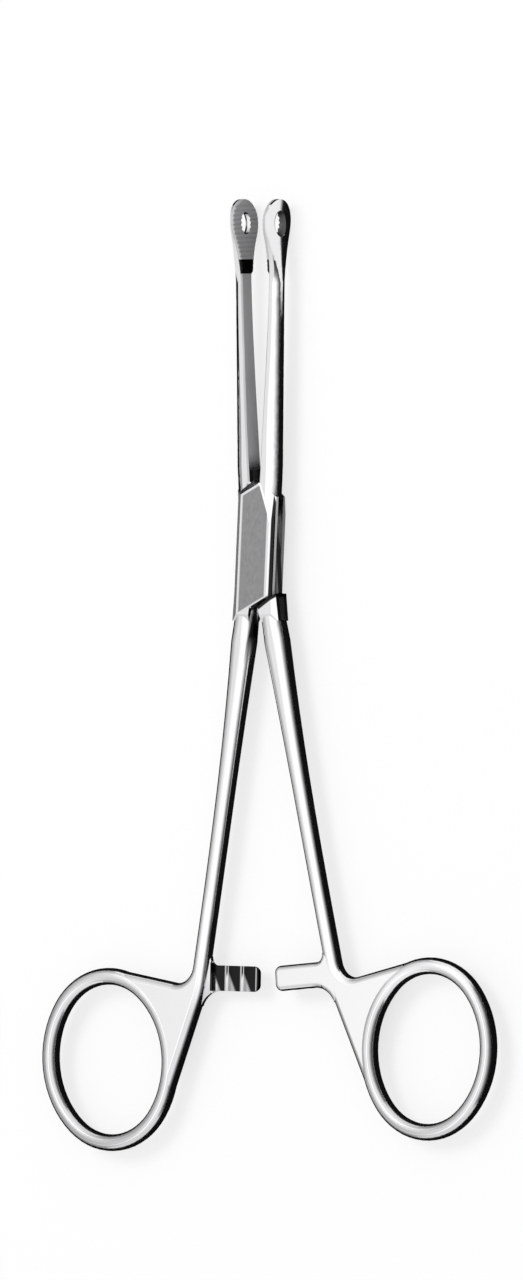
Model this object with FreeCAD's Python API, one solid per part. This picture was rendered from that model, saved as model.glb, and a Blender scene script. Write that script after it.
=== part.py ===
import FreeCAD, Part
import math
import os

# Intestinal grasping forceps with fenestrated, cross-serrated jaws, a box lock,
# two finger rings and a three-step ratchet. Millimetres.
# Frame: origin on the lock pin's axis, on the lock's lower face; +Y runs to the
# jaw tips, X is the way the jaws open, +Z is up, as the forceps lies flat.
# Each arm is drawn shut, round the pin, with its jaw on +X and its handle on -X,
# and is then mirrored or turned into its place.

# Lock
lockWidth = 7.7
lockDepth = 4.0
lockChamfer = 0.3           # along the slanted ends
bevelWide = 0.8             # along the lock's sides
bevelDeep = 0.42
lockEndFlat = 11.8          # half length of the lock's flat faces
lockEndRun = 1.2            # length over which the flat runs out to the shank
cheekCornerY = 8.3          # height of the cheek's outer corner above the pin
cheekSlope = 29.6           # degrees that the cheek's slanted end rises
tongueDepth = 1.2
tongueSideGap = 0.05        # running gap each side of the tongue
shoulderGap = 0.08          # gap between cheek end and shoulder, shut
slotEndY = 7.9              # where the slot ends on the side it leaves
tongueCornerY = 4.7         # where the tongue's corner is cut back
tongueInset = 0.1           # how far the tongue's edge lies inside the cheeks
tongueRun = 1.2             # how far the tongue runs into the solid ends of the lock
tongueRise = 0.8            # how far its slanted ends stand past the cheeks' own

# Lock pin, riveted flush
pinRadius = 1.1
pinRunGap = 0.05
pinHeadRadius = 1.5
pinHeadDepth = 0.4

# Jaw
jawReach = 58.5             # pin axis to jaw tip
jawGap = 0.05               # each serrated pad stops this far from the middle
jawRelief = 0.4             # how far the plain inner face stands back at its ends
jawBow = 0.2                # extra hollow halfway along the plain face
padLength = 11.9            # serrated length, from the tip
padStep = 0.5               # length of the slope behind the pad
backStraightY = 13.5        # up to here the round back runs straight on from the lock's side
shankCrown = 2.45           # middle plane to the back's crown, where the shank is slimmest
spoonCrown = 1.4
tipCrown = 1.1              # just past the tip
shankBackReach = 1.15       # half depth of the back's ellipse over the jaw's own half depth
spoonBackReach = 1.3
tipPast = 1.0               # how far the jaw is drawn past its tip before it is cut to shape
rootInset = 0.12            # how far the shanks lie inside the lock's faces where they leave it
backRootY = 1.9             # where the slope into the jaw's round back leaves the lock's side
backRootSlope = 0.34        # fall of that slope over its width
rootRun = 1.8               # how far a jaw's root runs down inside the lock from there
jawShankDepth = 3.0 
flareFromTip = 14.0         # where the shank, at its slimmest, starts to widen into the spoon
flareShare = 0.75           # share of the widening that is hollow, before it turns outwards
spoonDepth = 7.2            # widest part of the spoon
spoonWideFromTip = 3.8
jawInnerBevel = 0.25
padBevel = 0.2
windowLength = 3.7
windowWidth = 2.6
windowFromTip = 4.1
windowBevel = 0.3           # round the window, on the jaw's back
windowBevelDepth = 0.6
grooveCount = 15
groovePitch = 0.766
grooveFirst = 0.92          # tip to first groove
grooveWidth = 0.7
grooveDepth = 0.22
cutPast = 0.01              # how far outside a face its cutters start

# Handle shank
shankTopY = -12.0
shankTopX = 2.08
shankTopSplay = 6.5         # degrees from the Y axis
shankEndSplay = 8.4
shankEndY = -64.0
shankRootWide = 3.2         # inside the lock
shankTopWide = 4.1
shankWide = 4.5             # widest, just below the lock
shankDeep = 3.8
shankWideY = -16.5
shankTaperPower = 2.5         # how fast the width falls from there
shankSteps = 8
roundShare = 0.473          # corner radius as a share of the slimmer side

# Finger ring
ringHoleWidth = 22.0
ringHoleStretch = 1.15      # length of the hole over its width
ringEndShare = 0.907        # radius of the oval's ends over half its width
ringNearX = 17.67           # from the middle to the near side of the hole
ringTopY = -74.95           # top of the hole
ringWire = 2.85             # in the plane of the ring
ringDepth = 3.25
ringTilt = 9.2              # degrees that the top leans outwards
webDepth = 3.05             # shank's end and the web that joins it to the ring
webInset = 0.15             # how far the web's edge lies inside the ring where they meet
saddleY = -74.8             # where the shank's outer line would meet the ring's top line
saddleRadius = 3.3
innerBendRadius = 14.0

# Ratchet
barY = -73.3                # middle of the bar
barHeight = 4.3
barPast = 1.7               # how far each bar reaches past the middle, shut
barSkin = 0.05              # half the gap between the two bars
barCornerRadius = 1.15
barRound = 1.0              # along the bar's outer edges
barTopFillet = 1.3
barUnderFillet = 4.2
barUnderSlope = 20.0        # degrees from the Y axis that the web below leans
toothCount = 3
toothPitch = 3.2
toothHeight = 0.6
toothLand = 0.05            # flat left on each crest
toothTip = 0.35             # length of the flat at the bar's tip

# Pose
restOpening = 6.0           # degrees between the arms as it lies
handleSet = 1.55            # degrees by which both handles are bent over towards +X

halfLock = lockDepth / 2
halfWidth = lockWidth / 2
slopeRise = math.tan(math.radians(cheekSlope))
jawStartY = backRootY - rootRun
ringHoleLength = ringHoleWidth * ringHoleStretch
ringEndRadius = ringHoleWidth / 2 * ringEndShare
ringCentre = FreeCAD.Vector(-ringNearX - ringHoleWidth / 2, ringTopY - ringHoleLength / 2)
up = FreeCAD.Vector(0, 0, 1)
pivot = FreeCAD.Vector(0, 0, 0)


def vec(x, y, z=0.0):
    return FreeCAD.Vector(x, y, z)


def line(a, b):
    return Part.LineSegment(a, b).toShape()


def thick(face, depth):
    """A flat face given a depth, half of it to each side."""
    body = face.extrude(vec(0, 0, depth))
    body.translate(vec(0, 0, -depth / 2))
    return body


def prism(points, depth):
    """A straight-sided block on a closed outline, half its depth to each side."""
    corners = [vec(x, y) for x, y in points]
    return thick(Part.Face(Part.makePolygon(corners + [corners[0]])), depth)


def corner(before, at, after, radius):
    """Start, middle and end of the arc that rounds one corner of an outline."""
    into = (before - at).normalize()
    out = (after - at).normalize()
    half = into.getAngle(out) / 2
    reach = radius / math.tan(half)
    centre = at + (into + out).normalize() * (radius / math.sin(half))
    middle = centre + (at - centre).normalize() * radius
    return at + into * reach, middle, at + out * reach


def arcAlong(start, end, heading):
    """The arc that leaves its start in the heading's direction."""
    chord = end - start
    half = heading.getAngle(chord) / 2
    bisector = (heading + vec(*chord).normalize()).normalize()
    return Part.Arc(start, start + bisector * (chord.Length / 2 / math.cos(half)), end).toShape()


def ellipse(centre, a, b):
    """An ellipse on two half axes, whichever is the longer."""
    long, short = (a, b) if a.Length > b.Length else (b, a)
    return Part.Ellipse(centre + long, centre + short, centre)


def sBend(start, end, share):
    """Two arcs along Y that are straight at both ends and meet at a share of the way."""
    along = vec(0, 1)
    meet = start + (end - start) * share
    return [arcAlong(start, meet, along), arcAlong(end, meet, along * -1)]


def cheekEndY(x):
    """Height of the box's slanted upper end at x."""
    return cheekCornerY + (x + halfWidth) * slopeRise


def middle(edge):
    return edge.valueAt((edge.FirstParameter + edge.LastParameter) / 2)


def edgesWhere(shape, test):
    return [e for e in shape.Edges if test(e)]


# Jaw

def halfOval(centre, half, out):
    """The half of an ellipse that runs from one end of an axis to the other, round the out side."""
    if out.Length > half.Length:
        oval = Part.Ellipse(centre + out, centre - half, centre)
        first = -math.pi / 2
    else:
        oval = Part.Ellipse(centre + half, centre + out, centre)
        first = 0
    return Part.ArcOfEllipse(oval, first, first + math.pi).toShape()


def backSection(y, crown, half):
    """Half an ellipse across the jaw: flat on the middle plane, its crown on the jaw's back."""
    at = vec(0, y)
    reach = vec(0, 0, half)
    return Part.Wire([halfOval(at, reach, vec(crown, 0)), line(at - reach, at + reach)])


def jawBack():
    """The jaw's half-round back, lofted from inside the lock to past the tip."""
    rootCrown = halfWidth - rootInset
    rootHalf = (halfLock - rootInset) * shankBackReach
    slimHalf = jawShankDepth / 2 * shankBackReach
    wideHalf = spoonDepth / 2 * spoonBackReach
    sections = [backSection(jawStartY, rootCrown, rootHalf),
                backSection(backStraightY, rootCrown, rootHalf),
                backSection(jawReach - flareFromTip, shankCrown, slimHalf),
                backSection(jawReach - spoonWideFromTip, spoonCrown, wideHalf),
                backSection(jawReach + tipPast, tipCrown, wideHalf)]
    return Part.makeLoft(sections, True, True)


def jawPlan():
    """The jaw's inner side seen from above, from inside the lock to just past its tip."""
    start = jawStartY
    padEnd = jawReach - padLength
    past = jawReach + tipPast
    plainEnd = vec(jawRelief, padEnd - padStep)
    plainStart = vec(jawRelief + rootInset / 2, cheekEndY(jawRelief))
    hollow = vec(jawRelief + jawBow, (plainEnd.y + plainStart.y) / 2)
    edges = [line(vec(plainStart.x, start), plainStart), Part.Arc(plainStart, hollow, plainEnd).toShape(),
             line(plainEnd, vec(jawGap, padEnd)), line(vec(jawGap, padEnd), vec(jawGap, past)),
             line(vec(jawGap, past), vec(lockWidth, past)), line(vec(lockWidth, past), vec(lockWidth, start)),
             line(vec(lockWidth, start), vec(plainStart.x, start))]
    return Part.Face(Part.Wire(edges))


def jawSide():
    """The jaw seen from the side: shank, spoon and rounded tip, in the YZ plane."""
    start = jawStartY
    wideY = jawReach - spoonWideFromTip
    slim = jawShankDepth / 2
    wide = spoonDepth / 2
    root = halfLock - rootInset
    edges = [line(vec(0, start, root), vec(0, start, -root))]
    for side in (1, -1):
        flare = vec(0, jawReach - flareFromTip, side * slim)
        edges.append(line(vec(0, start, side * root), vec(0, lockEndFlat, side * root)))
        edges += sBend(vec(0, lockEndFlat, side * root), flare, 0.5)
        edges += sBend(flare, vec(0, wideY, side * wide), flareShare)
    edges.append(halfOval(vec(0, wideY), vec(0, 0, wide), vec(0, spoonWideFromTip)))
    return Part.Face(Part.Wire(Part.__sortEdges__(edges)))


def grooves(shift):
    """The cross serrations: one V for each, across the pad's whole width."""
    cuts = []
    for i in range(grooveCount):
        y = jawReach - grooveFirst - shift - i * groovePitch
        mouth = jawGap - cutPast
        v = [(mouth, y - grooveWidth / 2), (mouth, y + grooveWidth / 2), (jawGap + grooveDepth, y)]
        cuts.append(prism(v, spoonDepth * 2))
    return cuts


def window():
    """The oval window through the spoon, its rim bevelled on the back."""
    at = vec(0, jawReach - windowFromTip)

    def oval(x, grow):
        along = vec(0, windowLength / 2 + grow)
        across = vec(0, 0, windowWidth / 2 + grow)
        return Part.Wire(ellipse(at + vec(x, 0), along, across).toShape())
    hole = Part.Face(oval(0, 0)).extrude(vec(halfWidth, 0))
    rims = [oval(spoonCrown - windowBevelDepth, 0), oval(spoonCrown + windowBevelDepth, windowBevel * 2)]
    return [hole, Part.makeLoft(rims, True, True)]


def jaw(shift):
    side = jawSide().extrude(vec(lockWidth, 0))
    body = thick(jawPlan(), spoonDepth * 2).common(side).common(jawBack()).removeSplitter()

    def plain(e):
        mid = middle(e)
        onFace = jawRelief - 0.01 < mid.x < jawRelief + jawBow + 0.01
        return onFace and abs(mid.z) > 0.5 and cheekEndY(jawRelief) < mid.y < jawReach - padLength

    def pad(e):
        return abs(middle(e).x - jawGap) < 0.01 and abs(middle(e).z) > 0.5
    body = body.makeChamfer(jawInnerBevel, edgesWhere(body, plain))
    body = body.makeChamfer(padBevel, edgesWhere(body, pad))
    return body.cut(window()).cut(grooves(shift)).Solids[0]


# Handle

def shankX(y):
    """The shank's middle line: its slope grows evenly from lock to ring."""
    run = shankTopY - y
    top = math.tan(math.radians(shankTopSplay))
    end = math.tan(math.radians(shankEndSplay))
    length = shankTopY - shankEndY
    return -(shankTopX + top * run + (end - top) * run * run / (2 * length))


def shankTurn(y):
    share = (shankTopY - y) / (shankTopY - shankEndY)
    return shankTopSplay + (shankEndSplay - shankTopSplay) * share


def shankSize(y):
    share = (y - shankEndY) / (shankWideY - shankEndY)
    fall = share ** shankTaperPower
    return ringWire + (shankWide - ringWire) * fall, webDepth + (shankDeep - webDepth) * fall


def section(x, y, wide, deep, turn):
    """A rounded rectangle across the shank, its plane square to the shank's line."""
    w = wide / 2
    d = deep / 2
    radius = min(wide, deep) * roundShare
    points = [vec(w, 0, -d), vec(w, 0, d), vec(-w, 0, d), vec(-w, 0, -d)]
    arcs = [corner(points[i - 1], points[i], points[(i + 1) % 4], radius) for i in range(4)]
    edges = []
    for i in range(4):
        edges.append(Part.Arc(*arcs[i]).toShape())
        edges.append(line(arcs[i][2], arcs[(i + 1) % 4][0]))
    wire = Part.Wire(edges)
    wire.rotate(pivot, up, -turn)
    wire.translate(vec(x, y))
    return wire


def shank(turn):
    """The shank, bent over by a small turn just below the lock."""
    deep = lockDepth - 2 * rootInset
    rootX = rootInset + shankRootWide / 2 - halfWidth
    wires = [section(rootX, -cheekCornerY, shankRootWide, deep, 0),
             section(-shankTopX, shankTopY, shankTopWide, deep, shankTopSplay / 2)]
    for i in range(shankSteps + 1):
        y = shankWideY + (shankEndY - shankWideY) * i / shankSteps
        wire = section(shankX(y), y, *shankSize(y), shankTurn(y))
        wire.rotate(vec(0, shankTopY), up, turn)
        wires.append(wire)
    return Part.makeLoft(wires, True, True)


# Finger ring

def ovalArcs(grow):
    """Centre, radius, middle angle and half span of the ring's four arcs: top, far side,
    bottom, near side. The hole's own arcs are grown outwards by a distance."""
    ends = ringHoleLength / 2 - ringEndRadius
    halfHole = ringHoleWidth / 2
    sideRadius = (ends ** 2 + halfHole ** 2 - ringEndRadius ** 2) / (halfHole - ringEndRadius) / 2
    endSpan = math.atan2(sideRadius - halfHole, ends)
    arcs = []
    for i in range(4):
        angle = math.radians(90 + ringTilt + 90 * i)
        out = vec(math.cos(angle), math.sin(angle))
        if i % 2 == 0:
            arcs.append((ringCentre + out * ends, ringEndRadius + grow, angle, endSpan))
        else:
            back = ringCentre + out * (halfHole - sideRadius)
            arcs.append((back, sideRadius + grow, angle, math.pi / 2 - endSpan))
    return arcs


def touchAngle(point, arc, way):
    """Where a line from an outside point touches an arc's circle, as the circle's angle."""
    off = point - arc[0]
    return math.atan2(off.y, off.x) + way * math.acos(arc[1] / off.Length)


def onArc(arc, angle):
    return arc[0] + vec(math.cos(angle), math.sin(angle)) * arc[1]


def arcEdge(arc, first, last):
    return Part.ArcOfCircle(Part.Circle(arc[0], up, arc[1]), first, last).toShape()


def limb():
    """The ring's limb: an oval wire swept once round the hole."""
    arcs = ovalArcs(ringWire / 2)
    path = Part.Wire([arcEdge(arc, arc[2] - arc[3], arc[2] + arc[3]) for arc in arcs])
    start = onArc(arcs[0], arcs[0][2] - arcs[0][3])
    out = (start - arcs[0][0]).normalize()
    oval = ellipse(start, vec(0, 0, ringDepth / 2), out * (ringWire / 2))
    halves = [Part.ArcOfEllipse(oval, 0, math.pi), Part.ArcOfEllipse(oval, math.pi, 2 * math.pi)]
    return path.makePipeShell([Part.Wire([half.toShape() for half in halves])], True, True)


def web():
    """The plate that carries the shank's end on to the ring, rounded along its open edges."""
    splay = math.radians(shankEndSplay)
    down = vec(-math.sin(splay), -math.cos(splay))
    across = vec(-math.cos(splay), math.sin(splay)) * (ringWire / 2)
    start = vec(shankX(shankEndY), shankEndY)
    outer = start + across
    inner = start - across
    saddle = outer + down * ((outer.y - saddleY) / math.cos(splay))
    bend = inner + down * ((inner.y - barY + barHeight / 2) / math.cos(splay))
    edgeArcs = ovalArcs(ringWire - webInset)
    midArcs = ovalArcs(ringWire / 2)
    topAngle = touchAngle(saddle, edgeArcs[0], 1)
    lowAngle = touchAngle(bend, edgeArcs[3], -1)
    top = onArc(edgeArcs[0], topAngle)
    low = onArc(edgeArcs[3], lowAngle)
    saddleArc = corner(outer, saddle, top, saddleRadius)
    bendArc = corner(low, bend, inner, innerBendRadius)
    rim = [line(outer, saddleArc[0]), Part.Arc(*saddleArc).toShape(), line(saddleArc[2], top),
           line(low, bendArc[0]), Part.Arc(*bendArc).toShape(), line(bendArc[2], inner)]
    nearEnd = midArcs[3][2] + midArcs[3][3]
    hidden = [line(inner, outer), line(top, onArc(midArcs[0], topAngle)),
              arcEdge(midArcs[0], nearEnd - 2 * math.pi, topAngle),
              arcEdge(midArcs[3], lowAngle + 2 * math.pi, nearEnd),
              line(onArc(midArcs[3], lowAngle), low)]
    body = thick(Part.Face(Part.Wire(Part.__sortEdges__(rim + hidden))), webDepth)
    marks = [middle(e) for e in rim]

    def onRim(e):
        mid = middle(e)
        return any((mid - mark).cross(up).Length < 0.01 for mark in marks) and abs(mid.z) > 0.01
    return body.makeFillet(ringWire * roundShare, edgesWhere(body, onRim))


# Ratchet

def shankEdge(y):
    """A point on the shank's inner edge, beside the bar."""
    splay = math.radians(shankEndSplay)
    return vec(shankX(barY) + ringWire / 2 / math.cos(splay) + (y - barY) * math.tan(splay), y)


def barPlan():
    """The bar seen from above, with its two fillets, from inside the shank to its tip."""
    highY = barY + barHeight / 2
    lowY = barY - barHeight / 2
    lean = math.radians(barUnderSlope)
    above = shankEdge(highY + barTopFillet * 2)
    below = shankEdge(lowY) - vec(math.sin(lean), math.cos(lean)) * barUnderFillet * 2
    path = [above, shankEdge(highY), vec(barPast, highY), vec(barPast, lowY), shankEdge(lowY), below]
    radii = [barTopFillet, barCornerRadius, barCornerRadius, barUnderFillet]
    arcs = [corner(path[i], path[i + 1], path[i + 2], radii[i]) for i in range(4)]
    inside = vec(-ringWire / 3, 0)
    edges = []
    for i, arc in enumerate(arcs):
        edges.append(Part.Arc(*arc).toShape())
        if i < 3:
            edges.append(line(arc[2], arcs[i + 1][0]))
    first = arcs[0][0]
    last = arcs[3][2]
    edges += [line(last, last + inside), line(last + inside, first + inside), line(first + inside, first)]
    return Part.Face(Part.Wire(edges))


def tooth(index):
    """What is cut away between two teeth: a long ramp up to a square catch."""
    crest = barPast - toothTip - index * toothPitch
    foot = crest - toothPitch + toothLand
    over = ringDepth
    v = [vec(crest, 0, -barSkin), vec(crest, 0, over), vec(foot, 0, over), vec(foot, 0, -barSkin - toothHeight)]
    cut = Part.Face(Part.makePolygon(v + [v[0]])).extrude(vec(0, barHeight * 2))
    cut.translate(vec(0, barY - barHeight))
    return cut


def bar(level):
    """One ratchet bar: level -1 lies below the middle plane with its teeth up, 1 above, teeth down."""
    body = barPlan().extrude(vec(0, 0, webDepth / 2 - barSkin))
    body.translate(vec(0, 0, -webDepth / 2))
    rootX = shankEdge(barY).x

    def outerRim(e):
        mid = middle(e)
        return abs(mid.z + webDepth / 2) < 0.01 and (mid.x > rootX or abs(mid.y - barY) > barHeight / 2)
    body = body.makeFillet(barRound, edgesWhere(body, outerRim))
    body = body.cut([tooth(i) for i in range(toothCount)])
    return body.mirror(pivot, up) if level > 0 else body


# Lock

def bevels(endY):
    """The wedges that take the edges off the lock's sides."""
    wedges = []
    near = halfWidth - bevelWide
    far = halfWidth + bevelWide
    for x in (1, -1):
        for z in (1, -1):
            points = [(near, halfLock), (far, halfLock), (far, halfLock - 2 * bevelDeep)]
            corners = [vec(x * a, -2 * endY, z * b) for a, b in points]
            wedge = Part.Face(Part.makePolygon(corners + [corners[0]]))
            wedges.append(wedge.extrude(vec(0, 4 * endY)))
    return wedges


def backSlopes():
    """What is taken off each face so that it falls away into the jaw's round back."""
    start = vec(jawRelief, cheekEndY(jawRelief))
    along = (vec(halfWidth, backRootY) - start).normalize()
    out = vec(-along.y, along.x)
    wedges = []
    for side in (1, -1):
        top = start - along * lockWidth + vec(0, 0, side * halfLock)
        far = top + out * lockWidth
        low = far - vec(0, 0, side * lockWidth * backRootSlope)
        wedge = Part.Face(Part.makePolygon([top, far, low, top]))
        wedges.append(wedge.extrude(along * (4 * lockWidth)))
    return wedges


def lockBody():
    """The flat-faced middle of an arm, with a root for its jaw and one for its handle."""
    endY = lockEndFlat + lockEndRun
    handleOuter = shankX(-endY) - shankTopWide / 2 + rootInset
    inner = jawRelief
    points = [(-halfWidth, cheekCornerY), (inner, cheekEndY(inner)), (halfWidth, cheekCornerY),
              (halfWidth, -cheekCornerY), (-inner, -cheekEndY(inner)),
              (-inner - rootInset * 2, -endY), (handleOuter, -endY), (-halfWidth, -cheekCornerY)]
    body = prism(points, lockDepth)

    def rim(e):
        mid = e.CenterOfMass
        onFace = abs(abs(mid.z) - halfLock) < 0.01
        return onFace and mid.x * mid.y < 0 and abs(mid.x) < halfWidth - 0.01
    body = body.makeChamfer(lockChamfer, edgesWhere(body, rim)).cut(bevels(endY) + backSlopes())
    drop = halfLock - jawShankDepth / 2
    side = [(-endY, drop), (-lockEndFlat, 0), (endY, 0)]
    outline = [vec(0, y, halfLock - d) for y, d in side] + [vec(0, y, -halfLock + d) for y, d in reversed(side)]
    cutter = Part.Face(Part.makePolygon(outline + [outline[0]])).extrude(vec(4 * lockWidth, 0))
    cutter.translate(vec(-2 * lockWidth, 0))
    return body.common(cutter)


def plainArm(shift, level, turn):
    """A whole arm before its lock is cut, its handle bent over by a small turn."""
    grip = web().fuse([limb(), bar(level)])
    grip.rotate(vec(0, shankTopY), up, turn)
    return lockBody().fuse([jaw(shift), shank(turn), grip])


def slot():
    """The window through the box that the tongue passes, open at both slanted ends."""
    far = lockWidth
    inner = jawRelief
    points = [(-far, -slotEndY), (-halfWidth, -slotEndY), (-inner, -cheekEndY(inner)), (-inner, -far * 2),
              (far, -far * 2), (far, slotEndY), (halfWidth, slotEndY), (inner, cheekEndY(inner)),
              (inner, far * 2), (-far, far * 2)]
    return prism(points, tongueDepth + tongueSideGap * 2)


def strip():
    """All that lies between the shoulders, which the tongue arm gives up to the cheeks."""
    rise = shoulderGap / math.cos(math.radians(cheekSlope))
    far = lockWidth
    points = [(-far, cheekEndY(-far) + rise), (far, cheekEndY(far) + rise),
              (far, -cheekEndY(-far) - rise), (-far, -cheekEndY(far) - rise)]
    return prism(points, lockDepth * 2)


def tongue():
    edge = halfWidth - tongueInset
    inner = jawRelief + tongueInset
    top = cheekEndY(-edge) + tongueRun
    slant = cheekEndY(-inner) + tongueRise
    points = [(-edge, top), (-edge, -tongueCornerY), (inner, -slant), (inner, -top - tongueRun),
              (edge, -top), (edge, tongueCornerY), (-inner, slant), (-inner, top + tongueRun)]
    return prism(points, tongueDepth)


def disc(radius, low, high):
    return Part.makeCylinder(radius, high - low, vec(0, 0, low))


def countersink(end):
    """The tapered seat that the pin's end is spread into."""
    cone = Part.makeCone(pinRadius, pinHeadRadius, pinHeadDepth, vec(0, 0, halfLock - pinHeadDepth))
    return cone if end > 0 else cone.mirror(pivot, up)


def lockPin():
    body = disc(pinRadius, -halfLock, halfLock)
    return body.fuse([countersink(1), countersink(-1)]).removeSplitter()


def boxArm():
    return plainArm(0, -1, handleSet).cut([slot(), lockPin()])


def tongueArm():
    body = plainArm(groovePitch / 2, 1, -handleSet).mirror(pivot, vec(1, 0, 0))
    body = body.cut(strip()).fuse(tongue())
    return body.cut(disc(pinRadius + pinRunGap, -lockDepth, lockDepth))


def place(shape, turn):
    shape.rotate(pivot, up, turn)
    shape.translate(vec(0, 0, halfLock))
    return shape


os.makedirs("parts", exist_ok=True)
pieces = {
    "box_arm": place(boxArm(), -restOpening / 2),
    "tongue_arm": place(tongueArm(), restOpening / 2),
    "lock_pin": place(lockPin(), -restOpening / 2),
}
for name, shape in pieces.items():
    shape = shape.removeSplitter()
    print(name, shape.isValid(), len(shape.Solids), round(shape.Volume, 2))
    shape.exportStep("parts/" + name + ".step")
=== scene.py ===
import math

import bpy
from mathutils import Matrix, Vector


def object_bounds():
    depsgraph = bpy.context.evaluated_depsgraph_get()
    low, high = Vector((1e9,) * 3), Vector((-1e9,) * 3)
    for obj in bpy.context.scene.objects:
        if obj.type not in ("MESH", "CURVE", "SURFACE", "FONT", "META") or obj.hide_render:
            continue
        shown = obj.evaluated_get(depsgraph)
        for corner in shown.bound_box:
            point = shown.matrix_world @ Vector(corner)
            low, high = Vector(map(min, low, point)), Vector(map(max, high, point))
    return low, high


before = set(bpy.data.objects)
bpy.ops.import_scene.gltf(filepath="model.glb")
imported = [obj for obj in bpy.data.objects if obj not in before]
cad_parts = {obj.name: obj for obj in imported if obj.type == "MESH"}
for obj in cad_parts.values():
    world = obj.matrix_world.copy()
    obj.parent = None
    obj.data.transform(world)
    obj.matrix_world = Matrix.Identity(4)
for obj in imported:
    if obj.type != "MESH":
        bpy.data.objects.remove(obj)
cadLow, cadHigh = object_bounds()
print("frame loaded")


class Value:
    # A socket of a shader tree. Sums written with it become Math nodes.
    def __init__(self, tree, socket):
        self.tree = tree
        self.socket = socket

    def maths(self, operation, *others, clamp=False):
        node = self.tree.nodes.new("ShaderNodeMath")
        node.operation = operation
        node.use_clamp = clamp
        for place, part in zip(node.inputs, (self,) + others):
            plug(self.tree, part, place)
        return Value(self.tree, node.outputs[0])

    def __add__(self, other):
        return self.maths("ADD", other)

    def __sub__(self, other):
        return self.maths("SUBTRACT", other)

    def __rsub__(self, other):
        return self * -1 + other

    def __mul__(self, other):
        return self.maths("MULTIPLY", other)

    __radd__ = __add__
    __rmul__ = __mul__

    def size(self):
        return self.maths("ABSOLUTE")

    def both(self, other):
        return self.maths("MINIMUM", other)

    def either(self, other):
        return self.maths("MAXIMUM", other)

    def held(self):
        # kept between 0 and 1
        return self.maths("ADD", 0.0, clamp=True)

    def past(self, edge, soft):
        # 0 below the edge and 1 above it, over a soft width
        return ((self - edge) * (1 / soft) + 0.5).held()


def plug(tree, part, place):
    if isinstance(part, Value):
        tree.links.new(part.socket, place)
    else:
        place.default_value = part


def addNode(tree, kind, inputs=(), **settings):
    node = tree.nodes.new(kind)
    for name, value in settings.items():
        setattr(node, name, value)
    for name, part in dict(inputs).items():
        plug(tree, part, node.inputs[name])
    return node


def outOf(tree, node, name):
    return Value(tree, node.outputs[name])


def mixColour(tree, share, first, second):
    # a colour Mix node has its factor at 0, its colours at 6 and 7 and its result at 2
    node = addNode(tree, "ShaderNodeMix", data_type="RGBA")
    for place, part in zip((0, 6, 7), (share, first, second)):
        plug(tree, part, node.inputs[place])
    return Value(tree, node.outputs[2])


def newTree(name):
    material = bpy.data.materials.new(name)
    material.use_nodes = True
    material.node_tree.nodes.clear()
    return material, material.node_tree


def objectPlace(tree):
    coords = addNode(tree, "ShaderNodeTexCoord")
    split = addNode(tree, "ShaderNodeSeparateXYZ", {"Vector": outOf(tree, coords, "Object")})
    return [outOf(tree, split, axis) for axis in "XYZ"], outOf(tree, coords, "Object")


def grain(tree, place, stretch, scale, detail=3.0):
    # fine noise drawn out along one way, as a brush or wheel leaves it
    mapping = addNode(tree, "ShaderNodeMapping", {"Vector": place, "Scale": stretch})
    noise = addNode(tree, "ShaderNodeTexNoise",
                    {"Vector": outOf(tree, mapping, "Vector"), "Scale": scale, "Detail": detail})
    return outOf(tree, noise, "Fac")


# Arms: polished steel with satin lock faces, matt inner jaw faces and serrated pads, with painted
# shade and painted highlights in places.
# Places are in metres in an arm's own frame: along from the pin to its jaw's tip,
# across from the middle to its jaw's back, height from the arm's middle plane.
# An entry is a real finish or a patch of painted shade or painted highlight: a colour, a roughness
# and how metallic it is.
finishesAndPaintedLight = {
    "polished": ((0.84, 0.84, 0.85, 1), 0.14, 1.0),
    # a lighter copy of the polished steel: painted highlight on the web flats and the tongue arm's
    # window wall
    "paintedHighlight": ((0.97, 0.97, 0.97, 1), 0.14, 1.0),
    "satin": ((0.22, 0.22, 0.225, 1), 0.45, 0.35),
    "satinPale": ((0.29, 0.29, 0.295, 1), 0.45, 0.35),
    # a darker copy of the polished steel: painted shade on the finger loops
    "ringShade": ((0.64, 0.64, 0.65, 1), 0.16, 1.0),
    "inner": ((0.68, 0.68, 0.69, 1), 0.7, 0.35),
    "pad": ((0.6, 0.6, 0.61, 1), 0.7, 0.35),
    "side": ((0.5, 0.5, 0.51, 1), 0.6, 0.3),
    # painted highlight along the lower edge of the box's upper cheek, above the slot
    "lipHighlight": ((0.97, 0.97, 0.97, 1), 0.5, 0.0),
    # painted shade: the step behind the pad, the box's right edge, a strip on the tongue and the
    # fork of the shanks
    "dark": ((0.02, 0.02, 0.02, 1), 0.5, 1.0),
    # painted shade on the tongue where it lies inside the box
    "tongue": ((0.13, 0.13, 0.135, 1), 0.45, 0.8),
    # painted shade on the ratchet's ramps and its root wall
    "toothShade": ((0.025, 0.025, 0.025, 1), 0.3, 1.0),
    # painted shade on the box arm's window wall and bevel
    "paintedRim": ((0.1, 0.1, 0.1, 1), 0.35, 0.8),
}

armSteel = {
    "grainScale": 2600.0,
    "grainStretch": (1.0, 0.04, 1.0),
    "grainDepth": 0.000004,
    "grainStrength": 0.25,
    "restTurn": 3.0,
    "halfDepth": 0.002,
    "skin": 0.00003,
}


def armPlace(tree, turn, side):
    (x, y, z), place = objectPlace(tree)
    c = math.cos(math.radians(turn))
    s = math.sin(math.radians(turn))
    return y * c - x * s, (x * c + y * s) * side, z - armSteel["halfDepth"], place


def within(value, low, high, soft):
    return value.past(low, soft).both(1 - value.past(high, soft))


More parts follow.
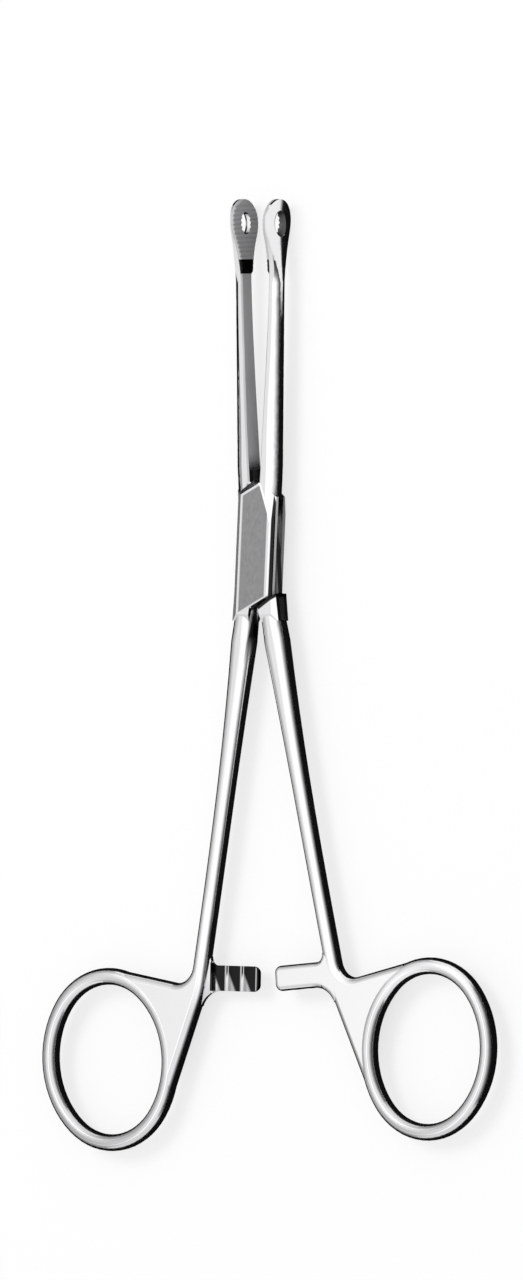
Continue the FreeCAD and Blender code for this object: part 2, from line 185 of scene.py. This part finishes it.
# Jaws: a matt inner face, the pad with a painted shadow on the step behind it, and painted shade
# on the box arm's window wall and bevel, a painted highlight on the tongue arm's
jawLook = {
    "innerStart": 0.0142,
    "innerReach": 0.00064,
    "padStart": 0.0483,
    "padShade": 0.0024,
    "windowY": 0.0544,
    "windowHalfLength": 0.00187,
    "windowHalfWidth": 0.00132,
    "windowBevel": 0.00033,
    "rimDepth": 0.0003,
    "ovalReach": 1.03,
    "ovalSoft": 0.02,
    "startSoft": 0.003,
    "lineSoft": 0.0001,
}


def ovalMask(along, height, grow):
    look = jawLook
    lengthways = (along - look["windowY"]) * (1 / (look["windowHalfLength"] + grow))
    sideways = height * (1 / (look["windowHalfWidth"] + grow))
    oval = lengthways * lengthways + sideways * sideways
    return 1 - oval.past(look["ovalReach"], look["ovalSoft"])


def jawLayers(along, across, height, paintedRim):
    look = jawLook
    soft = look["lineSoft"]
    face = along.past(look["innerStart"], look["startSoft"])
    face = face.both(1 - across.past(look["innerReach"], soft))
    pad = face.both(along.past(look["padStart"], soft))
    # painted shadow on the inner face just behind the pad
    step = face.both(along.past(look["padStart"] - look["padShade"], soft)).both(1 - pad)
    # the window's wall and bevel: painted shade on the box arm, a painted highlight on the tongue
    # arm
    wall = ovalMask(along, height, 0)
    bevel = ovalMask(along, height, look["windowBevel"]).both(across.past(look["rimDepth"], soft))
    return [(face, "inner"), (pad, "pad"), (step, "dark"), (wall.either(bevel), paintedRim)]


# Lock: satin cheeks between slanted ends, painted shade along the box's right edge and a painted
# highlight above the slot on its right side, a grey lower cheek, painted shade on the tongue
# inside the slot with a darker painted strip along its lower shoulder, and painted shade in the
# fork of the shanks
lockLook = {
    "cornerY": 0.0083,
    "half": 0.00385,
    "rise": 0.568,
    "topInset": 0.0008,
    "bottomInset": 0.0005,
    "leftEdge": -0.0026,
    "rightEdge": 0.00258,
    "soft": 0.0002,
    "mottleScale": 1500.0,
    "mottleStretch": (1.0, 0.6, 1.0),
    "mottleMiddle": 0.5,
    "mottleSpread": 0.5,
    "edgeX": 0.00335,
    "edgeStart": -0.0085,
    "edgeEnd": 0.0113,
    "edgeSoft": 0.0001,
    "sideX": 0.0038,
    "sideHalf": 0.0118,
    "sideTop": -0.0008,
    "sideSoft": 0.00002,
    "lipLow": 0.00065,
    "lipHigh": 0.0013,
    "lipSoft": 0.00005,
    "tongueHalf": 0.00062,
    "tongueSoft": 0.00002,
    "tongueEnd": 0.0128,
    "gapStart": 0.0104,
    "gapEnd": 0.0112,
    "forkEdge": 0.001,
    "forkEdgeSoft": 0.0003,
    "forkLean": 0.114,
    "forkHigh": 0.0019,
    "forkHighSoft": 0.0001,
    "forkTop": 0.0085,
    "forkTopSoft": 0.001,
    "forkEnd": 0.018,
    "forkFade": 0.005,
}


def mottle(tree, place):
    look = lockLook
    cloud = grain(tree, place, look["mottleStretch"], look["mottleScale"])
    return cloud.past(look["mottleMiddle"], look["mottleSpread"])


def boxLayers(tree, along, across, height, place):
    look = lockLook
    soft = look["soft"]
    slope = along - across * look["rise"]
    end = look["cornerY"] + look["half"] * look["rise"]
    flat = height.size().past(armSteel["halfDepth"] - armSteel["skin"], armSteel["skin"] / 2)
    lozenge = flat.both(within(slope, look["bottomInset"] - end, end - look["topInset"], soft))
    lozenge = lozenge.both(within(across, look["leftEdge"], look["rightEdge"], soft))
    mottled = lozenge * mottle(tree, place)
    # painted shade along the box's right edge
    edge = across.past(look["edgeX"], look["edgeSoft"])
    edge = edge.both(height.past(look["lipHigh"], look["lipSoft"]))
    edge = edge.both(within(along, look["edgeStart"], look["edgeEnd"], soft))
    cheek = across.past(look["sideX"], look["sideSoft"])
    cheek = cheek.both(1 - along.size().past(look["sideHalf"], soft))
    side = cheek.both(1 - height.past(look["sideTop"], soft))
    # painted highlight along the upper cheek's lower edge, above the slot
    lipHighlight = cheek.both(within(height, look["lipLow"], look["lipHigh"], look["lipSoft"]))
    return [(lozenge, "satin"), (mottled, "satinPale"), (edge, "dark"),
            (side, "side"), (lipHighlight, "lipHighlight")]


def tongueLayers(along, across, height):
    look = lockLook
    soft = look["soft"]
    # painted shade on the tongue where it lies inside the box
    buriedShade = 1 - height.size().past(look["tongueHalf"], look["tongueSoft"])
    buriedShade = buriedShade.both(1 - along.size().past(look["tongueEnd"], soft))
    # painted shade in a slanted strip along the tongue's lower shoulder
    slope = along + across * look["rise"]
    gap = within(slope, -look["gapEnd"], -look["gapStart"], soft)
    return [(buriedShade, "tongue"), (gap, "dark")]


def forkShadeMask(along, across, height):
    # painted shade on the inner sides of the two shanks where they leave the lock
    look = lockLook
    inward = across - along * look["forkLean"]
    near = inward.past(look["forkEdge"], look["forkEdgeSoft"])
    near = near.both(1 - height.size().past(look["forkHigh"], look["forkHighSoft"]))
    fade = along.past(-look["forkEnd"], look["forkFade"])
    fade = fade.both(1 - along.past(-look["forkTop"], look["forkTopSoft"]))
    return near.both(fade)


# Handle: painted shade on the ratchet's ramps and root wall, painted highlights on the web flats
# and painted shade on the finger loops
handleLook = {
    "bend": 1.55,
    "bendY": -0.012,
    "barY": -0.0733,
    "barHalf": 0.0024,
    "barSoft": 0.0001,
    "wedgeStart": 0.3,
    "wedgeSlope": 1.17,
    "wedgeSoft": 0.2,
    "crest": 0.00135,
    "pitch": 0.0032,
    "teeth": 3,
    "rampStart": 0.08,
    "rampEnd": 0.96,
    "rampSoft": 0.03,
    "rowSoft": 0.02,
    "toothTop": 0.00004,
    "toothDepth": 0.00068,
    "toothSoft": 0.00002,
    "catchBefore": 0.05,
    "catchAfter": 0.03,
    "catchSoft": 0.01,
    "catchInset": 0.00005,
    "flatHeight": 0.001525,
    "flatSkin": 0.00002,
    "flatSoft": 0.00001,
    "flatEnd": -0.06,
    "flatFade": 0.004,
    "ringStart": -0.0765,
    "ringFade": 0.006,
}


def handleLayers(along, across, height, side):
    look = handleLook
    c = math.cos(math.radians(look["bend"]))
    s = math.sin(math.radians(look["bend"])) * side
    grip = across * c + (along - look["bendY"]) * s
    bar = within(along, look["barY"] - look["barHalf"], look["barY"] + look["barHalf"],
                 look["barSoft"])
    # steps counts teeth from the crest by the bar's tip
    # share runs from 0 at a crest, down its ramp, to 1 at the next catch
    steps = (look["crest"] - grip) * (1 / look["pitch"])
    share = steps.maths("FRACT")
    # painted shade on each ramp of the teeth, with a wedge of each ramp left polished
    ramp = within(share, look["rampStart"], look["rampEnd"], look["rampSoft"])
    # down runs from 0 at the bar's upper edge to 1 at its lower one
    down = (along - look["barY"]) * (-0.5 / look["barHalf"]) + 0.5
    wedge = (down - (1 - share) * look["wedgeSlope"]).past(look["wedgeStart"], look["wedgeSoft"])
    ramp = ramp.both(1 - wedge)
    teeth = ramp.both(1 - steps.past(look["teeth"], look["rowSoft"]))
    teeth = teeth.either(1 - steps.past(0, look["rowSoft"]))
    deep = within(height * -side, look["toothTop"], look["toothDepth"], look["toothSoft"])
    teeth = teeth.both(deep)
    # painted shade on the root wall beyond the teeth
    catch = within(steps, look["teeth"] - look["catchBefore"], look["teeth"] + look["catchAfter"],
                   look["catchSoft"])
    catch = catch.both(1 - height.past(look["flatHeight"] - look["catchInset"], look["toothSoft"]))
    # painted highlight on the web flats
    flat = within(height.size(), look["flatHeight"] - look["flatSkin"],
                  look["flatHeight"] + look["flatSkin"], look["flatSoft"])
    flat = flat.both(1 - along.past(look["flatEnd"], look["flatFade"]))
    # painted shade on the finger loops
    ringShade = 1 - along.past(look["ringStart"], look["ringFade"])
    return [(ringShade, "ringShade"), (flat, "paintedHighlight"), (teeth.either(catch).both(bar), "toothShade")]


def layered(tree, layers):
    colour, rough, metal = finishesAndPaintedLight["polished"]
    for mask, finish in layers:
        tint, roughness, metallic = finishesAndPaintedLight[finish]
        colour = mixColour(tree, mask, colour, tint)
        rough = rough + (roughness - rough) * mask
        metal = metal + (metallic - metal) * mask
    return addNode(tree, "ShaderNodeBsdfPrincipled",
                   {"Base Color": colour, "Metallic": metal, "Roughness": rough})


def armMaterial(name, turn, side, boxHalf):
    # turn: degrees that the arm lies turned; side: +1 where its jaw is on +X
    material, tree = newTree(name)
    along, across, height, place = armPlace(tree, turn, side)
    layers = handleLayers(along, across, height, side)
    layers += jawLayers(along, across, height, "paintedRim" if boxHalf else "paintedHighlight")
    if boxHalf:
        layers += boxLayers(tree, along, across, height, place)
    else:
        layers += tongueLayers(along, across, height)
    layers.append((forkShadeMask(along, across, height), "dark"))
    shine = layered(tree, layers)
    lines = grain(tree, place, armSteel["grainStretch"], armSteel["grainScale"])
    bump = addNode(tree, "ShaderNodeBump",
                   {"Height": lines, "Distance": armSteel["grainDepth"],
                    "Strength": armSteel["grainStrength"]})
    plug(tree, outOf(tree, bump, "Normal"), shine.inputs["Normal"])
    out = addNode(tree, "ShaderNodeOutputMaterial")
    tree.links.new(shine.outputs[0], out.inputs["Surface"])
    return material


def pinMaterial():
    material, tree = newTree("pinSteel")
    _, place = objectPlace(tree)
    satin, rough, metal = finishesAndPaintedLight["satin"]
    colour = mixColour(tree, mottle(tree, place), satin, finishesAndPaintedLight["satinPale"][0])
    shine = addNode(tree, "ShaderNodeBsdfPrincipled",
                    {"Base Color": colour, "Metallic": metal, "Roughness": rough})
    out = addNode(tree, "ShaderNodeOutputMaterial")
    tree.links.new(shine.outputs[0], out.inputs["Surface"])
    return material


def dress(node, material):
    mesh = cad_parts[node].data
    mesh.materials.clear()
    mesh.materials.append(material)
    for face in mesh.polygons:
        face.material_index = 0


dress("box_arm", armMaterial("boxArmSteel", -armSteel["restTurn"], 1, True))
dress("tongue_arm", armMaterial("tongueArmSteel", armSteel["restTurn"], -1, False))
dress("lock_pin", pinMaterial())
print("metals on")

# Studio: white paper under the forceps, and a light tent and a dark mat that only the metal sees
studio = {
    "floorColour": (0.35, 0.35, 0.35, 1),
    "floorGlow": 0.72,
    "floorHalf": 1.5,
    "floorDrop": 0.00002,
    "matHalf": 0.28,
    "matDrop": 0.00001,
    "matGrey": 0.006,
    "matGapX": 0.0071,
    "matGapY": 0.0545,
    "matGapLean": 0.17,
    "matGapSoft": 0.001,
    "matGapStart": 0.041,
    "matGapFade": 0.006,
    "tentRadius": 0.3,
    "tentHalf": 0.45,
    "tentSteps": 48,
    "tentStrength": 1.2,
    "rightDark": 95.0,
    "rightFall": 57.0,
    "leftGrey": 0.34,
    "leftStart": -75.0,
    "leftRise": 63.0,
    "roomLight": 0.55,
    "keyWatts": 3.0,
    "keySize": 0.5,
    "keyPlace": (-0.25, 0.35, 0.9),
    "keyAim": (0, -0.02, 0),
}


def flatSheet(name, half, z, material):
    mesh = bpy.data.meshes.new(name)
    corners = [(-half, -half, z), (half, -half, z), (half, half, z), (-half, half, z)]
    mesh.from_pydata(corners, [], [(0, 1, 2, 3)])
    mesh.materials.append(material)
    sheet = bpy.data.objects.new(name, mesh)
    bpy.context.scene.collection.objects.link(sheet)
    return sheet


def seenWhite(tree):
    # 1 where the camera, a reflection or a view through glass looks at the backdrop
    path = addNode(tree, "ShaderNodeLightPath")
    seen = outOf(tree, path, "Is Camera Ray").either(outOf(tree, path, "Is Glossy Ray"))
    return seen.either(outOf(tree, path, "Is Transmission Ray"))


def floorMaterial():
    # white paper: its own shadowed colour, raised to white where it is looked at
    material, tree = newTree("paper")
    matte = addNode(tree, "ShaderNodeBsdfDiffuse", {"Color": studio["floorColour"]})
    glow = addNode(tree, "ShaderNodeEmission", {
        "Color": (1, 1, 1, 1), "Strength": seenWhite(tree) * studio["floorGlow"]})
    both = addNode(tree, "ShaderNodeAddShader")
    tree.links.new(matte.outputs[0], both.inputs[0])
    tree.links.new(glow.outputs[0], both.inputs[1])
    out = addNode(tree, "ShaderNodeOutputMaterial")
    tree.links.new(both.outputs[0], out.inputs["Surface"])
    return material


def glowMaterial(name, level):
    # level: a function that works the glow's strength out in the new tree
    material, tree = newTree(name)
    glow = addNode(tree, "ShaderNodeEmission", {"Color": (1, 1, 1, 1), "Strength": level(tree)})
    out = addNode(tree, "ShaderNodeOutputMaterial")
    tree.links.new(glow.outputs[0], out.inputs["Surface"])
    return material


def tentLevel(tree):
    # white overhead, grey towards the left horizon and black towards the right one
    (x, _, z), _ = objectPlace(tree)
    angle = x.maths("ARCTAN2", z) * math.degrees(1)
    right = ((studio["rightDark"] - angle) * (1 / studio["rightFall"])).held()
    left = ((angle - studio["leftStart"]) * (1 / studio["leftRise"])).held()
    left = left * (1 - studio["leftGrey"]) + studio["leftGrey"]
    return right * right * left * studio["tentStrength"]


def matLevel(tree):
    # dark, but for a gap beside the right jaw's spoon, where its back sees the white floor
    (x, y, _), _ = objectPlace(tree)
    gap = x + (y - studio["matGapY"]) * studio["matGapLean"]
    gap = gap.past(studio["matGapX"], studio["matGapSoft"])
    return gap.both(y.past(studio["matGapStart"], studio["matGapFade"])) + studio["matGrey"]


def buildTent():
    steps = studio["tentSteps"]
    corners = []
    for i in range(steps + 1):
        angle = math.pi * (i / steps - 0.5)
        x = studio["tentRadius"] * math.sin(angle)
        z = studio["tentRadius"] * math.cos(angle) + floorZ
        corners += [(x, -studio["tentHalf"], z), (x, studio["tentHalf"], z)]
    faces = [(2 * i, 2 * i + 2, 2 * i + 3, 2 * i + 1) for i in range(steps)]
    mesh = bpy.data.meshes.new("tent")
    mesh.from_pydata(corners, [], faces)
    mesh.materials.append(glowMaterial("tentCloth", tentLevel))
    tent = bpy.data.objects.new("tent", mesh)
    bpy.context.scene.collection.objects.link(tent)
    return tent


def onlyReflected(sheet):
    sheet.visible_camera = False
    sheet.visible_diffuse = False
    sheet.visible_shadow = False
    sheet.visible_transmission = False


def buildWorld():
    world = bpy.data.worlds.new("room")
    bpy.context.scene.world = world
    world.use_nodes = True
    tree = world.node_tree
    tree.nodes.clear()
    strength = seenWhite(tree) * (1 - studio["roomLight"]) + studio["roomLight"]
    background = addNode(tree, "ShaderNodeBackground",
                         {"Color": (1, 1, 1, 1), "Strength": strength})
    out = addNode(tree, "ShaderNodeOutputWorld")
    tree.links.new(background.outputs[0], out.inputs["Surface"])


def buildLamp(name, place, aim, size, watts):
    lamp = bpy.data.lights.new(name, "AREA")
    lamp.shape = "DISK"
    lamp.size = size
    lamp.energy = watts
    holder = bpy.data.objects.new(name, lamp)
    holder.location = place
    toObject = Vector(aim) - Vector(place)
    holder.rotation_euler = toObject.to_track_quat("-Z", "Y").to_euler()
    bpy.context.scene.collection.objects.link(holder)


floorZ = cadLow.z
flatSheet("floor", studio["floorHalf"], floorZ - studio["floorDrop"], floorMaterial())
onlyReflected(flatSheet("mat", studio["matHalf"], floorZ - studio["matDrop"],
                        glowMaterial("darkMat", matLevel)))
onlyReflected(buildTent())
buildWorld()
buildLamp("key", studio["keyPlace"], studio["keyAim"], studio["keySize"], studio["keyWatts"])
print("studio built")

# Camera: square on to the length, 36 degrees round from straight above
shot = {
    "azimuth": 36.0,
    "midX": 0.0002,
    "midY": -0.01603,
    "midZ": 0.002,
    "frameHeight": 0.21604,
    "distance": 0.9,
    "farEnd": 10,
}


def buildCamera():
    turn = math.radians(shot["azimuth"])
    right = Vector((math.cos(turn), 0, -math.sin(turn)))
    upward = Vector((0, 1, 0))
    back = Vector((math.sin(turn), 0, math.cos(turn)))
    camera = bpy.data.cameras.new("camera")
    camera.type = "ORTHO"
    camera.ortho_scale = shot["frameHeight"]
    camera.clip_end = shot["farEnd"]
    holder = bpy.data.objects.new("camera", camera)
    aim = right * shot["midX"] + upward * shot["midY"] + Vector((0, 0, shot["midZ"]))
    turned = Matrix((right, upward, back)).transposed()
    holder.matrix_world = Matrix.Translation(aim + back * shot["distance"]) @ turned.to_4x4()
    bpy.context.scene.collection.objects.link(holder)
    bpy.context.scene.camera = holder


buildCamera()
bpy.context.scene.view_settings.view_transform = "Standard"
print("camera set")
